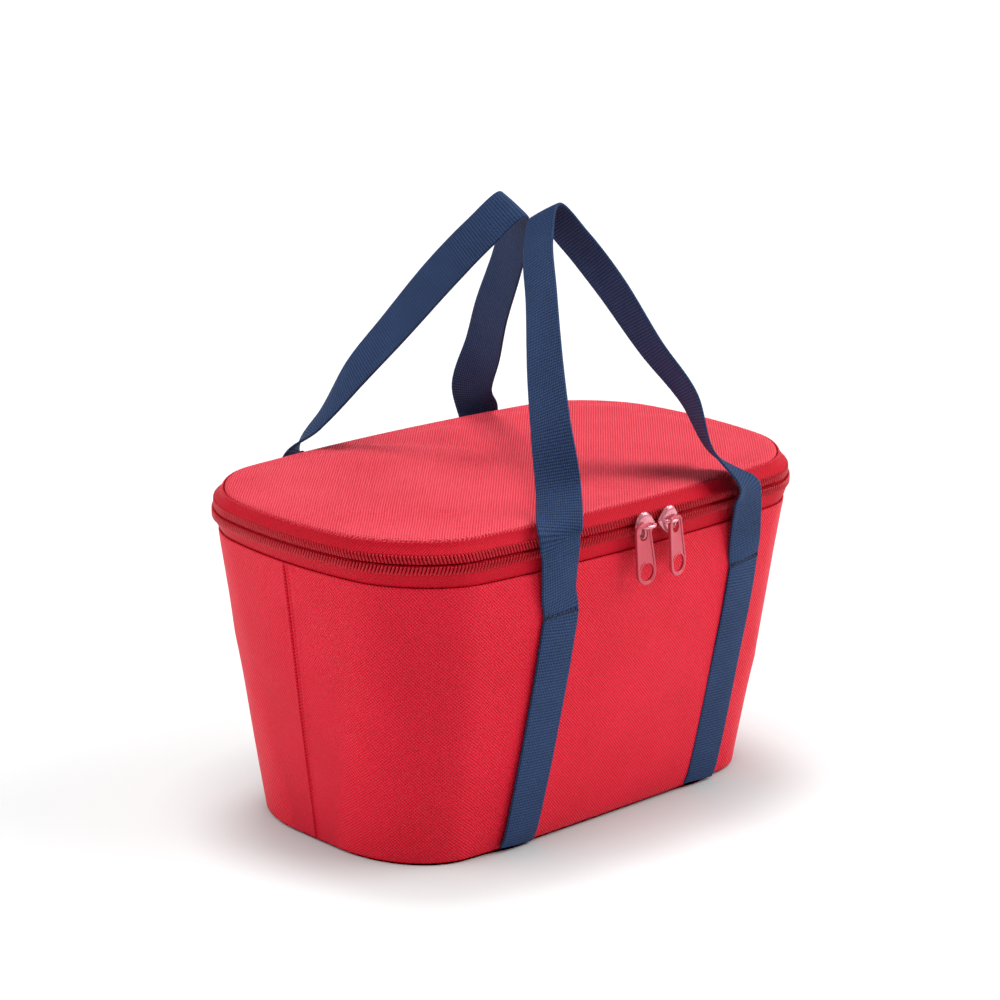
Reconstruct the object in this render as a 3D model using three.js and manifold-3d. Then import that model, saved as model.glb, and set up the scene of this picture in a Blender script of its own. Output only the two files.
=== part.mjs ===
// Insulated cooler bag: foam-padded fabric wall, lined inside, zipped lid, two webbing handles.
// Millimetres, +Z up, X along the bag, the front of the bag faces -Y.
import * as THREE from 'three';
import { mergeVertices } from 'three/addons/utils/BufferGeometryUtils.js';
import Module from 'manifold-3d';

const wasm = await Module();
wasm.setup();

// ---------------------------------------------------------------- driving dimensions
const GAP = 0.3;             // clearance between pieces that touch on the real bag
const FABRIC = 1.1;          // outer fabric
const FOAM = 5;              // insulating foam
const LINER = 1;             // inner lining
const WEBBING = 1.5;         // handle webbing thickness
const WEBBING_WIDTH = 20;

const BODY_TOP = 132.6;      // seam between wall fabric and zip tape
const ZIP_CENTRE = 143.25;   // groove between the two rows of zip coil
const LID_SEAM = 151.6;      // seam between zip tape and lid fabric
const LID_RISE = 3.4;        // the lid domes this far above its seam

// Plan shape of the bag at each height: half length a, half depth b, elliptical corners rx by ry,
// and how far the ends (ex) and the long sides (ey) bow out past the rounded rectangle.
const LEVELS = [
  { z: 0, a: 114.8, b: 62, rx: 34, ry: 46, ex: 0, ey: 1.3 },
  { z: BODY_TOP, a: 132.2, b: 86, rx: 28.5, ry: 36, ex: 13, ey: 8.7 },
  { z: 139.6, a: 136.8, b: 87, rx: 28.5, ry: 36, ex: 13, ey: 8.7 },
  { z: 147, a: 137.3, b: 86.6, rx: 28.5, ry: 36, ex: 13, ey: 8.7 },
  { z: LID_SEAM, a: 133.2, b: 80.8, rx: 28.5, ry: 36, ex: 13, ey: 8.7 },
];
const END_STEPS = 2, CORNER_STEPS = 5, SIDE_STEPS = 5;
const QUARTER = END_STEPS + CORNER_STEPS + SIDE_STEPS;
const AROUND = 4 * QUARTER;  // stations around the bag: 0 = right end, QUARTER = back middle
const HINGE_STEPS = 3;       // the fabric hinge spans this many stations each side of the back middle

// handles: the two webbing runs of a handle stand STRAP_HALF either side of a centre that
// wanders a little to the right of the bag's middle, as sewn
const STRAP_HALF = 59;
const CENTRE = { foot: 3.5, tack: 11.5, rim: 4.5, apex: 12 };
const FOOT_Z = 1.8;
const TACK = { y: 82.7, z: 112 };      // upper end of the sewn run, where the free webbing bends
const RIM = { y: 88, z: 150 };         // where the webbing folds in over the lid edge
// Rise of the loop: spread (share of STRAP_HALF), distance from the middle plane, height, and
// how far the webbing has turned from facing outward to lying across the top.
const RISE = [
  { spread: 1, y: RIM.y, z: RIM.z, turn: 0 },
  { spread: 0.83, y: 81.7, z: 165.5, turn: 42 },
  { spread: 0.725, y: 67.5, z: 188.5, turn: 62 },
  { spread: 0.56, y: 52.5, z: 210, turn: 76 },
  { spread: 0.35, y: 33, z: 237.5, turn: 86 },
  { spread: 0.19, y: 19.2, z: 257, turn: 89 },
  { spread: 0, y: 11, z: 270, turn: 90 },
];
const LEAN = 26 * Math.PI / 180;       // lean of the handles toward each other

const SLIDERS = [-0.5, 13.4];   // x of the two zip sliders, nose to nose

// ---------------------------------------------------------------- plan shape
function level(z) {
  const i = Math.max(1, LEVELS.findIndex((l) => l.z >= z) < 0
    ? LEVELS.length - 1 : LEVELS.findIndex((l) => l.z >= z));
  const lo = LEVELS[i - 1], hi = LEVELS[i];
  const t = (z - lo.z) / (hi.z - lo.z);
  const mix = (key) => lo[key] + (hi[key] - lo[key]) * t;
  return { a: mix('a'), b: mix('b'), rx: mix('rx'), ry: mix('ry'), ex: mix('ex'), ey: mix('ey') };
}

function quarterPoint(i, p) {
  const A = p.a - p.ex, B = p.b - p.ey;
  if (i <= END_STEPS) return [A, (B - p.ry) * i / END_STEPS];
  if (i <= END_STEPS + CORNER_STEPS) {
    const angle = (i - END_STEPS) / CORNER_STEPS * Math.PI / 2;
    return [A - p.rx + p.rx * Math.cos(angle), B - p.ry + p.ry * Math.sin(angle)];
  }
  return [(A - p.rx) * (QUARTER - i) / SIDE_STEPS, B];
}

function planPoint(k, p) {
  const i = ((k % AROUND) + AROUND) % AROUND;
  const q = Math.floor(i / QUARTER), r = i - q * QUARTER;
  const [x0, y0] = quarterPoint(q % 2 ? QUARTER - r : r, p);
  const x = (q === 1 || q === 2) ? -x0 : x0;
  const y = q >= 2 ? -y0 : y0;
  const A = p.a - p.ex, B = p.b - p.ey;
  return new THREE.Vector2(
    x + p.ex * (x / A) * (1 - (y / B) ** 2),
    y + p.ey * (y / B) * (1 - (x / A) ** 2));
}

// Point at station k, a distance d inside the plan of height zPlan, placed at height z.
function shellPoint(k, d, z, zPlan = z) {
  const p = level(zPlan);
  const c = planPoint(k, p);
  const along = planPoint(k + 1, p).sub(planPoint(k - 1, p)).normalize();
  return new THREE.Vector3(c.x - along.y * d, c.y + along.x * d, z);
}

// Depth of the wall face at (x, z), measured from the middle plane of the bag.
function wallDepth(x, z) {
  const p = level(z);
  return p.b - p.ey * (x / (p.a - p.ex)) ** 2;
}

// ---------------------------------------------------------------- solid builders
// Skin a row of equal loops of points; wrap joins the last loop to the first, otherwise both
// ends are closed with the given triangles.
function skin(loops, { wrap = false, capTriangles = [] } = {}) {
  const n = loops[0].length;
  const positions = loops.flat().flatMap((v) => [v.x, v.y, v.z]);
  const index = [];
  const last = loops.length;
  for (let i = 0; i < (wrap ? last : last - 1); i++) {
    const s = i * n, t = ((i + 1) % last) * n;
    for (let j = 0; j < n; j++) {
      const k = (j + 1) % n;
      index.push(s + j, s + k, t + k, s + j, t + k, t + j);
    }
  }
  const end = (last - 1) * n;
  for (const [a, b, c] of capTriangles) index.push(a, c, b, end + a, end + b, end + c);
  return outward(positions, index);
}

// Triangles that fill a flat outline, wound the way the outline runs.
function fill(outline) {
  const triangles = THREE.ShapeUtils.triangulateShape(outline, []);
  const area = (t) => {
    const [a, b, c] = t.map((i) => outline[i]);
    return (b.x - a.x) * (c.y - a.y) - (b.y - a.y) * (c.x - a.x);
  };
  const flip = triangles.reduce((sum, t) => sum + area(t), 0) * THREE.ShapeUtils.area(outline) < 0;
  return flip ? triangles.map(([a, b, c]) => [a, c, b]) : triangles;
}

function outward(positions, index) {
  const at = (i) => new THREE.Vector3(...positions.slice(3 * i, 3 * i + 3));
  let volume = 0;
  for (let i = 0; i < index.length; i += 3) {
    volume += at(index[i]).dot(at(index[i + 1]).cross(at(index[i + 2])));
  }
  if (volume < 0) for (let i = 0; i < index.length; i += 3) index.splice(i, 2, index[i + 1], index[i]);
  const geometry = new THREE.BufferGeometry();
  geometry.setAttribute('position', new THREE.Float32BufferAttribute(positions, 3));
  geometry.setIndex(index);
  return geometry;
}

// A strip that follows the plan from one station to another; profile = [inset, height] corners.
function strip(profile, from = 0, to = AROUND) {
  const whole = to - from === AROUND;
  const loops = [];
  for (let k = from; k <= to - (whole ? 1 : 0); k++) {
    loops.push(profile.map(([d, z]) => shellPoint(k, d, z)));
  }
  const capTriangles = whole ? [] : fill(profile.map(([d, z]) => new THREE.Vector2(d, z)));
  return skin(loops, { wrap: whole, capTriangles });
}

// A solid made of complete plan rings from its first face to its last;
// layers = [inset, z, height whose plan is used, how far the ring is shrunk to the middle].
function plate(layers) {
  const loops = layers.map(([d, z, zPlan = z, shrink = 1]) =>
    Array.from({ length: AROUND }, (_, k) => {
      const v = shellPoint(k, d, z, zPlan);
      return v.set(v.x * shrink, v.y * shrink, v.z);
    }));
  const capTriangles = fill(loops[0].map((v) => new THREE.Vector2(v.x, v.y)));
  return skin(loops, { capTriangles });
}

// Webbing through a row of stations {c: centre, w: width direction, n: outer normal}.
// A rounded end turns about its own centre, so two lengths can meet at a fold.
function webbing(stations, { roundStart = false, roundEnd = false } = {}) {
  const half = WEBBING / 2;
  const rows = stations.map((s) => ({ ...s, h: half }));
  const rounding = (s, direction) => [25, 50, 75].map((deg) => {
    const angle = deg * Math.PI / 180;
    return { ...s, c: s.c.clone().addScaledVector(direction, half * Math.sin(angle)),
      h: half * Math.cos(angle) };
  });
  if (roundStart) {
    const away = stations[0].c.clone().sub(stations[1].c).normalize();
    rows.unshift(...rounding(stations[0], away).reverse());
  }
  if (roundEnd) {
    const away = stations.at(-1).c.clone().sub(stations.at(-2).c).normalize();
    rows.push(...rounding(stations.at(-1), away));
  }
  const loops = rows.map(({ c, w, n, h }) => [[1, 1], [-1, 1], [-1, -1], [1, -1]].map(([i, j]) =>
    c.clone().addScaledVector(w, i * WEBBING_WIDTH / 2).addScaledVector(n, j * h)));
  return skin(loops, { capTriangles: [[0, 1, 2], [0, 2, 3]] });
}

function toManifold(geometry) {
  const g = geometry.clone();
  g.deleteAttribute('normal');
  g.deleteAttribute('uv');
  const m = mergeVertices(g, 1e-4);
  return new wasm.Manifold(new wasm.Mesh({ numProp: 3,
    vertProperties: new Float32Array(m.attributes.position.array),
    triVerts: new Uint32Array(m.index.array) }));
}

function join(geometries, cuts = []) {
  let solid = geometries.map(toManifold).reduce((a, b) => a.add(b));
  for (const cut of cuts) solid = solid.subtract(toManifold(cut));
  const mesh = solid.getMesh();
  const geometry = new THREE.BufferGeometry();
  geometry.setAttribute('position', new THREE.BufferAttribute(mesh.vertProperties, 3));
  geometry.setIndex(new THREE.BufferAttribute(mesh.triVerts, 1));
  return geometry;
}

// Flat part drawn in X and Z, running from depth y0 to y1.
function flat(shape, y0, y1) {
  const g = new THREE.ExtrudeGeometry(shape, { depth: y1 - y0, bevelEnabled: false, curveSegments: 6 });
  return g.rotateX(Math.PI / 2).translate(0, y1, 0);
}

function block(x0, x1, y0, y1, z0, z1) {
  return new THREE.BoxGeometry(x1 - x0, y1 - y0, z1 - z0)
    .translate((x0 + x1) / 2, (y0 + y1) / 2, (z0 + z1) / 2);
}

// ---------------------------------------------------------------- materials
const finish = (color, roughness, metalness = 0) => ({ color, roughness, metalness });
const CANVAS = finish('#c91f35', 0.85);
const LID_CLOTH = finish('#e2384c', 0.85);
const TAPE = finish('#b8182f', 0.8);
const COIL = finish('#a5142a', 0.45);
const ENAMEL = finish('#d8405a', 0.25, 0.6);
const NAVY = finish('#243761', 0.8);
const FOAM_WHITE = finish('#f1efe8', 0.95);
const LINING = finish('#c9ccd0', 0.4, 0.3);

const group = new THREE.Group();
function add(name, geometry, look) {
  const mesh = new THREE.Mesh(geometry, new THREE.MeshStandardMaterial(look));
  mesh.name = name;
  group.add(mesh);
}

// ---------------------------------------------------------------- body
const FLOOR = 1.2;                       // base fabric
const FOAM_FLOOR = FLOOR + GAP + FOAM;   // top of the base foam
const LINING_FLOOR = FOAM_FLOOR + GAP;   // underside of the lining
const LINING_RIM = BODY_TOP - 1.3;       // the lining turns out to the seam at this height

add('base_panel', plate([[0.9, 0], [0.3, 0.5], [0.3, FLOOR]]), CANVAS);

// Corners up one face of the wall; every layer bends at the same heights, so they nest.
const face = (d, z0, z1) => [[d, z0], [d, 44], [d, 88], [d, z1]];
const wallProfile = [[1.0, FLOOR + GAP], [0.2, 3.6], ...face(0, 6.5, BODY_TOP),
  ...face(FABRIC, 6.5, BODY_TOP).reverse(), [1.8, FLOOR + GAP]];
const SPLIT = 0.15;                      // half the gap at the end seams
function halfWall(profile, back) {
  const from = back ? 0 : 2 * QUARTER;
  const g = strip(profile, from, from + 2 * QUARTER);
  const p = g.attributes.position;
  for (let i = 0; i < p.count; i++) {
    if (Math.abs(p.getY(i)) < 1e-6) p.setY(i, back ? SPLIT : -SPLIT);
  }
  return g;
}
add('body_panel_front', halfWall(wallProfile, false), CANVAS);
add('body_panel_back', halfWall(wallProfile, true), CANVAS);

add('base_foam', plate([[3.2, FLOOR + GAP], [2.4, 4], [2.0, FOAM_FLOOR]]), FOAM_WHITE);

const LAYER_GAP = 0.5;                    // the long faces between wall layers bow a little
const foamIn = FABRIC + LAYER_GAP, foamOut = foamIn + FOAM;
const foamTop = LINING_RIM - LINER - GAP;
const foamProfile = [...face(foamIn, FOAM_FLOOR + GAP, foamTop),
  ...face(foamOut, FOAM_FLOOR + GAP, foamTop).reverse()];
add('wall_foam_front', halfWall(foamProfile, false), FOAM_WHITE);
add('wall_foam_back', halfWall(foamProfile, true), FOAM_WHITE);

const lineOut = foamOut + LAYER_GAP, lineIn = lineOut + LINER;
add('liner_tub', plate([...face(lineOut, LINING_FLOOR, LINING_RIM - LINER),
  [foamIn, LINING_RIM - LINER], [foamIn, LINING_RIM],
  ...face(lineIn, LINING_FLOOR + LINER, LINING_RIM).reverse()]), LINING);

// ---------------------------------------------------------------- zip and fabric hinge
const ROW_GAP = 0.65;                    // half the groove between the coil rows
const ROW = 3.2;                         // height of one row of coil
const COIL_DEPTH = 2;
const tapeIn = COIL_DEPTH + GAP, tapeOut = tapeIn + 1;
const lowTop = ZIP_CENTRE - ROW_GAP, lowFoot = lowTop - ROW;
const upFoot = ZIP_CENTRE + ROW_GAP, upTop = upFoot + ROW;
const zipFrom = QUARTER + HINGE_STEPS, zipTo = AROUND + QUARTER - HINGE_STEPS;
const hingeFrom = QUARTER - HINGE_STEPS, hingeTo = QUARTER + HINGE_STEPS;
const tapeFoot = LINING_RIM + GAP, tapeTop = LID_SEAM - 1.5;

add('zip_tape_lower', strip([[FABRIC + GAP, tapeFoot], [FABRIC + GAP, BODY_TOP], [0.9, BODY_TOP + GAP],
  [0.9, lowFoot - GAP], [tapeIn, lowFoot], [tapeIn, lowTop], [tapeOut, lowTop], [tapeOut, lowFoot],
  [FABRIC + GAP + 1, BODY_TOP], [FABRIC + GAP + 1, tapeFoot]], zipFrom, zipTo), TAPE);
add('zip_coil_lower', strip([[0.6, lowFoot + 0.1], [0, lowFoot + 0.9], [0, lowTop - 0.9],
  [0.6, lowTop], [COIL_DEPTH, lowTop], [COIL_DEPTH, lowFoot + 0.1]], zipFrom, zipTo), COIL);
add('zip_coil_upper', strip([[0.6, upFoot], [0, upFoot + 0.9], [0, upTop - 0.9],
  [0.6, upTop - 0.1], [COIL_DEPTH, upTop - 0.1], [COIL_DEPTH, upFoot]], zipFrom, zipTo), COIL);
add('zip_tape_upper', strip([[tapeIn, upFoot], [tapeIn, upTop], [0.3, upTop + GAP],
  [0.3, tapeTop], [1.4, tapeTop], [1.6, upTop + 1.2], [tapeOut, upTop + 0.6], [tapeOut, upFoot]],
  zipFrom, zipTo), TAPE);

const hingeEnd = (g, inner) => {         // draw the hinge ends in from the zip ends
  const p = g.attributes.position;
  for (let i = 0; i < p.count; i++) p.setX(i, p.getX(i) * inner);
  return g;
};
add('lid_hinge_lower', hingeEnd(strip([[FABRIC + GAP, tapeFoot], [FABRIC + GAP, BODY_TOP],
  [0.6, BODY_TOP + GAP], [0.6, ZIP_CENTRE - GAP], [1.7, ZIP_CENTRE - GAP], [1.7, 136],
  [FABRIC + GAP + 1, BODY_TOP], [FABRIC + GAP + 1, tapeFoot]], hingeFrom, hingeTo), 0.993), CANVAS);
add('lid_hinge_upper', hingeEnd(strip([[0.6, ZIP_CENTRE + GAP], [0.3, upTop], [0.3, tapeTop],
  [1.4, tapeTop], [1.4, upTop], [1.7, ZIP_CENTRE + GAP]], hingeFrom, hingeTo), 0.993), CANVAS);

// ---------------------------------------------------------------- lid
const lidEdge = LID_SEAM - FABRIC;       // underside of the lid fabric at its seam
const dome = [[0.9, 1, 0.35], [3, 1, 0.62], [12, 1, 0.8], [12, 0.7, 0.95], [12, 0.35, 1]];
const domeLayer = (drop, shift) => ([d, shrink, share]) =>
  [d + shift, LID_SEAM - drop + LID_RISE * share, LID_SEAM, shrink];
add('lid_panel', plate([...dome.map(domeLayer(FABRIC, 0.3)).reverse(),
  [0.3, lidEdge - 0.2, LID_SEAM], [0, LID_SEAM - 0.7, LID_SEAM], [0.1, LID_SEAM, LID_SEAM],
  ...dome.map(domeLayer(0, 0))]), LID_CLOTH);

const lidFoamTop = lidEdge - 0.3, lidFoamFoot = lidFoamTop - FOAM;
add('lid_foam', plate([[4, lidFoamFoot, LID_SEAM], [4, lidFoamTop - 0.8, LID_SEAM],
  [5.5, lidFoamTop, LID_SEAM], [12, lidFoamTop + 1.6, LID_SEAM]]), FOAM_WHITE);
add('lid_liner', plate([[3.2, lidFoamFoot - GAP - LINER, LID_SEAM],
  [3.2, lidFoamFoot - GAP, LID_SEAM]]), LINING);

// ---------------------------------------------------------------- zip sliders and pulls
function sliderPlate() {                 // shield outline, its nose pointing to +X
  const s = new THREE.Shape();
  s.moveTo(6, 0);
  s.quadraticCurveTo(4.2, 3, 1.6, 4.3);
  s.quadraticCurveTo(-2.4, 5.4, -5, 3.4);
  s.quadraticCurveTo(-6.4, 0, -5, -3.4);
  s.quadraticCurveTo(-2.4, -5.4, 1.6, -4.3);
  s.quadraticCurveTo(4.2, -3, 6, 0);
  return s;
}
const coilFace = 87.1;                   // depth of the coil face where the sliders stand
const BAR_Y = -92.1, BAR_R = 0.75;
function slider(x, nose) {
  const front = flat(sliderPlate(), -coilFace - 2, -coilFace - 0.6);
  const back = block(-4.6, 4.6, -82.2, -81.2, -2.2, 2.2);
  const neck = block(-0.6, 0.6, -coilFace - 1, -81.8, -0.33, 0.33);
  const bar = new THREE.CylinderGeometry(BAR_R, BAR_R, 8.4, 12).rotateZ(Math.PI / 2)
    .translate(0, BAR_Y, 0);
  const feet = [-1, 1].map((s) => block(s * 3.6 - 0.6, s * 3.6 + 0.6, BAR_Y, -coilFace - 1.5, -1, 1));
  const g = join([front, back, neck, bar, ...feet]);
  return (nose > 0 ? g : reflect(g, -1, 1)).translate(x, 0, ZIP_CENTRE);
}

function reflect(g, sx, sy) {
  g.scale(sx, sy, 1);
  const index = g.index.array;
  for (let i = 0; i < index.length; i += 3) [index[i], index[i + 1]] = [index[i + 1], index[i]];
  return g;
}
add('zip_slider_left', slider(SLIDERS[0], 1), ENAMEL);
add('zip_slider_right', slider(SLIDERS[1], -1), ENAMEL);

const PULL = { drop: 26.5, top: 4.5, bottom: 5.7, hole: 4.1, rim: 0.9, thick: 1.5 };
function pullOutline(shrink) {
  const s = new THREE.Shape();
  const t = PULL.top - shrink, b = PULL.bottom - shrink, foot = -PULL.drop + PULL.bottom;
  s.moveTo(-t, -1.2 - shrink);
  s.lineTo(-b, foot);
  s.absarc(0, foot, b, Math.PI, 2 * Math.PI, false);
  s.lineTo(t, -1.2 - shrink);
  s.lineTo(-t, -1.2 - shrink);
  return s;
}
function hole(shape, x, z, rx, rz) {
  const h = new THREE.Path();
  h.absellipse(x, z, rx, rz, 0, 2 * Math.PI, true);
  shape.holes.push(h);
  return shape;
}
function pull(x) {
  const eyeZ = -PULL.drop + PULL.bottom;
  const web = pullOutline(0.2);
  hole(web, 0, eyeZ, PULL.hole, PULL.hole);
  hole(web, 0, -4.3, 2.4, 2.2);
  const rim = pullOutline(0);
  rim.holes.push(new THREE.Path(pullOutline(PULL.rim).getPoints(10).reverse()));
  const ring = new THREE.Shape();
  ring.absarc(0, eyeZ, PULL.hole + 0.8, 0, 2 * Math.PI, false);
  hole(ring, 0, eyeZ, PULL.hole, PULL.hole);
  const sleeve = new THREE.CylinderGeometry(2, 2, 5, 16).rotateZ(Math.PI / 2).translate(0, BAR_Y, 0);
  const bore = new THREE.CylinderGeometry(BAR_R + 0.35, BAR_R + 0.35, 12, 16).rotateZ(Math.PI / 2)
    .translate(0, BAR_Y, 0);
  const h = PULL.thick / 2;
  return join([flat(web, BAR_Y - 0.4, BAR_Y + 0.4), flat(rim, BAR_Y - h, BAR_Y + h),
    flat(ring, BAR_Y - h, BAR_Y + h), sleeve], [bore]).translate(x, 0, ZIP_CENTRE);
}
add('zip_pull_left', pull(SLIDERS[0]), ENAMEL);
add('zip_pull_right', pull(SLIDERS[1]), ENAMEL);

// ---------------------------------------------------------------- handles
const vec = (x, y, z) => new THREE.Vector3(x, y, z);

// Sewn run: lies flat on the wall from the base seam up to the tack. side = -1 left, 1 right.
function sewnRun(side, where) {
  const top = TACK.z - WEBBING / 2 - 1.1;   // short enough that its slanted end clears the leg
  const steps = 6;
  const at = (u) => {
    const z = FOOT_Z + (top - FOOT_Z) * u;
    const x = CENTRE.foot + (CENTRE.tack - CENTRE.foot) * u + side * STRAP_HALF;
    return vec(x, -wallDepth(x, z) - (GAP + WEBBING / 2) * 1.02, z);
  };
  const stations = [];
  for (let i = 0; i <= steps; i++) {
    const u = i / steps, c = at(u);
    const t = at(Math.min(1, u + 0.01)).sub(at(Math.max(0, u - 0.01))).normalize();
    const slope = (wallDepth(c.x + 1, c.z) - wallDepth(c.x - 1, c.z)) / 2;
    const w = vec(1, -slope, 0);
    w.addScaledVector(t, -w.dot(t)).normalize();
    stations.push({ c, w, n: t.clone().cross(w).normalize() });
  }
  return turnTo(where, webbing(stations));
}

// Free leg: from the fold at the tack up past the zip to the lid edge.
function leg(side, where) {
  const x0 = CENTRE.tack + side * STRAP_HALF, x1 = CENTRE.rim + side * STRAP_HALF;
  const points = [vec(x0, -TACK.y, TACK.z), vec(x0 + (x1 - x0) * 0.55, -86.6, 133),
    vec(x0 + (x1 - x0) * 0.75, -87.8, 140.5), vec(x1, -RIM.y, RIM.z - WEBBING / 2 - 1.7)];
  const stations = points.map((c, i) => {
    const t = points[Math.min(i + 1, 3)].clone().sub(points[Math.max(i - 1, 0)]);
    t.x = 0;
    t.normalize();
    return { c, w: vec(1, 0, 0), n: t.cross(vec(1, 0, 0)).normalize() };
  });
  return turnTo(where, webbing(stations, { roundStart: true }));
}

// Loop: folds in over the lid edge, twists a quarter turn and bends round at the top.
function loop(where) {
  const foot = (side) => (r) => vec(CENTRE.rim + (CENTRE.apex - CENTRE.rim) * (1 - r.spread)
    + side * r.spread * STRAP_HALF, -r.y, r.z);
  const points = [...RISE.map(foot(-1)), ...RISE.slice(0, -1).reverse().map(foot(1))];
  const turns = [...RISE.map((r) => r.turn), ...RISE.slice(0, -1).reverse().map((r) => 180 - r.turn)];
  const path = new THREE.CatmullRomCurve3(points, false, 'centripetal');
  const twist = new THREE.CatmullRomCurve3(turns.map((t) => vec(t, 0, 0)), false, 'centripetal');
  const across = vec(0, -Math.cos(LEAN), Math.sin(LEAN));
  const perSpan = 4, spans = points.length - 1;
  const stations = [];
  for (let i = 0; i <= perSpan * spans; i++) {
    const u = i / (perSpan * spans);
    const c = path.getPoint(u), t = path.getTangent(u);
    const angle = twist.getPoint(u).x * Math.PI / 180;
    const w = vec(Math.cos(angle), 0, 0).addScaledVector(across, Math.sin(angle));
    w.addScaledVector(t, -w.dot(t)).normalize();
    stations.push({ c, w, n: w.clone().cross(t).normalize() });
  }
  for (const s of [stations[0], stations.at(-1)]) {   // both feet fold about one straight line
    s.w = vec(Math.sign(s.w.x), 0, 0);
    s.n = s.w.clone().cross(vec(0, 0, Math.sign(s.w.x)));
  }
  return turnTo(where, webbing(stations, { roundStart: true, roundEnd: true }));
}

// The back handle is the front one reflected in the middle plane.
function turnTo(where, g) {
  return where === 'back' ? reflect(g, 1, -1) : g;
}

for (const where of ['front', 'back']) {
  for (const [side, name] of [[-1, 'left'], [1, 'right']]) {
    add(`strap_run_${where}_${name}`, sewnRun(side, where), NAVY);
    add(`strap_leg_${where}_${name}`, leg(side, where), NAVY);
  }
  add(`handle_loop_${where}`, loop(where), NAVY);
}

export default group;
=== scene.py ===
import math

import bmesh
import bpy
import numpy as np
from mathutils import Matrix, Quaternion, Vector


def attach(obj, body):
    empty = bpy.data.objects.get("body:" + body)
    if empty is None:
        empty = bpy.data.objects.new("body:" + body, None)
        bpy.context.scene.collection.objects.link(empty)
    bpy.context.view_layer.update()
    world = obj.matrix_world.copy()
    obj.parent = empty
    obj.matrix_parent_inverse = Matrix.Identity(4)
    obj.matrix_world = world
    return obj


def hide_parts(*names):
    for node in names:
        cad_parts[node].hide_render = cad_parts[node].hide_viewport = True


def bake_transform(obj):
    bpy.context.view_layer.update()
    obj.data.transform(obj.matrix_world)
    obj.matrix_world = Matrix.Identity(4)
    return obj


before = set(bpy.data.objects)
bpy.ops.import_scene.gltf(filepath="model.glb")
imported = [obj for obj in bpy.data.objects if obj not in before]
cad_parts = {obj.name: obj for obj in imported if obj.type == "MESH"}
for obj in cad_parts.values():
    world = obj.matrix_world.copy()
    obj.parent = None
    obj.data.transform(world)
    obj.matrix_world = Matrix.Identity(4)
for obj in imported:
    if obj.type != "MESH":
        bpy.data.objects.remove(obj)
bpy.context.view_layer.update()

# Everything below is in millimetres, in the row frame; make_mesh turns it into metres.
MM = 0.001

# -------- sizes, as in the CAD model
BODY_TOP = 132.6        # seam between wall cloth and zip tape
ZIP_CENTRE = 143.25     # groove between the two rows of zip coil
LID_SEAM = 151.6        # seam between zip band and lid cloth
CLOTH = 1.1             # thickness of the outer cloth
FOAM = 5.0
LINER = 1.0
WEB_WIDTH, WEB_THICK = 20.0, 1.5
RIB = 1.4               # spacing of the cross ribs of the webbing
YARN = 0.8              # spacing of the yarns of the outer cloth

# Outline of the bag at each height: half length, half depth, corner radii along x and y, and how
# far the ends and the long sides bow out.
LEVELS = np.array([
    [0, 114.8, 62, 34, 46, 0, 1.3],
    [BODY_TOP, 132.2, 86, 28.5, 36, 13, 8.7],
    [139.6, 136.0, 86.8, 29.5, 37, 13, 8.7],
    [147, 135.6, 85.6, 30, 38, 13, 8.7],
    [LID_SEAM, 133.0, 80.8, 29.5, 37, 13, 8.7],
])
END_STEPS, CORNER_STEPS, SIDE_STEPS = 2, 5, 5
QUARTER = END_STEPS + CORNER_STEPS + SIDE_STEPS
AROUND = 4 * QUARTER    # stations around the bag: 0 = right end, QUARTER = back middle
HINGE_STEPS = 3         # half width of the cloth hinge, in stations

ROW_GAP, ROW, COIL_DEPTH = 0.65, 3.2, 2.0
LOW_TOP = ZIP_CENTRE - ROW_GAP
LOW_FOOT = LOW_TOP - ROW
UP_FOOT = ZIP_CENTRE + ROW_GAP
UP_TOP = UP_FOOT + ROW
COIL_FACE = 87.1        # depth of the coil face where the sliders stand
BAR_Y = -92.1           # depth of the bar that a zip pull swings on
SLIDERS = {"left": -0.5, "right": 13.4}

STRAP_HALF = 59.0       # from the middle of a handle to each of its two legs
CENTRE = {"foot": 3.5, "tack": 11.5, "rim": 4.5, "apex": 12.0}     # x of that middle on the way up
TACK_Z = 112.0          # height where the sewing of a handle ends
# Each handle from the lid rim up: spread (share of STRAP_HALF), depth, height, turn of the webbing.
RISE = {
    "front": [(1, 89.8, 150, 18), (0.81, 75.7, 165.5, 48), (0.73, 65.2, 188.5, 68), (0.56, 49.7, 210, 77),
              (0.36, 33, 237.5, 87), (0.19, 19.1, 257, 89), (0, 11, 270, 90)],
    "back": [(1, 87.5, 150, 22), (0.81, 82, 165.5, 46), (0.69, 67.7, 188.5, 70), (0.53, 53.3, 210, 80),
             (0.355, 33.5, 237.5, 89), (0.187, 19.4, 257, 89), (0, 11, 270, 90)],
}
LEAN = math.radians(27)  # the webbing leans back this far where it turns to lie flat


# -------- outline of the bag
def level(z):
    return [np.interp(z, LEVELS[:, 0], LEVELS[:, k]) for k in range(1, 7)]


def plan(station, z):
    """x and y of the outline at height z. Stations may be fractions."""
    a, b, rx, ry, ex, ey = level(z)
    half_x, half_y = a - ex, b - ey
    around = np.mod(station, AROUND)
    quadrant = np.floor(around / QUARTER)
    r = around - quadrant * QUARTER
    i = np.where(quadrant % 2 == 1, QUARTER - r, r)
    angle = np.clip((i - END_STEPS) / CORNER_STEPS, 0, 1) * math.pi / 2
    on_end, on_corner = i <= END_STEPS, i <= END_STEPS + CORNER_STEPS
    x = np.where(on_corner, half_x - rx + rx * np.cos(angle), (half_x - rx) * (QUARTER - i) / SIDE_STEPS)
    y = np.where(on_end, (half_y - ry) * i / END_STEPS, half_y - ry + ry * np.sin(angle))
    x = np.where((quadrant == 1) | (quadrant == 2), -x, x)
    y = np.where(quadrant >= 2, -y, y)
    return x + ex * (x / half_x) * (1 - (y / half_y) ** 2), y + ey * (y / half_y) * (1 - (x / half_x) ** 2)


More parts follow.
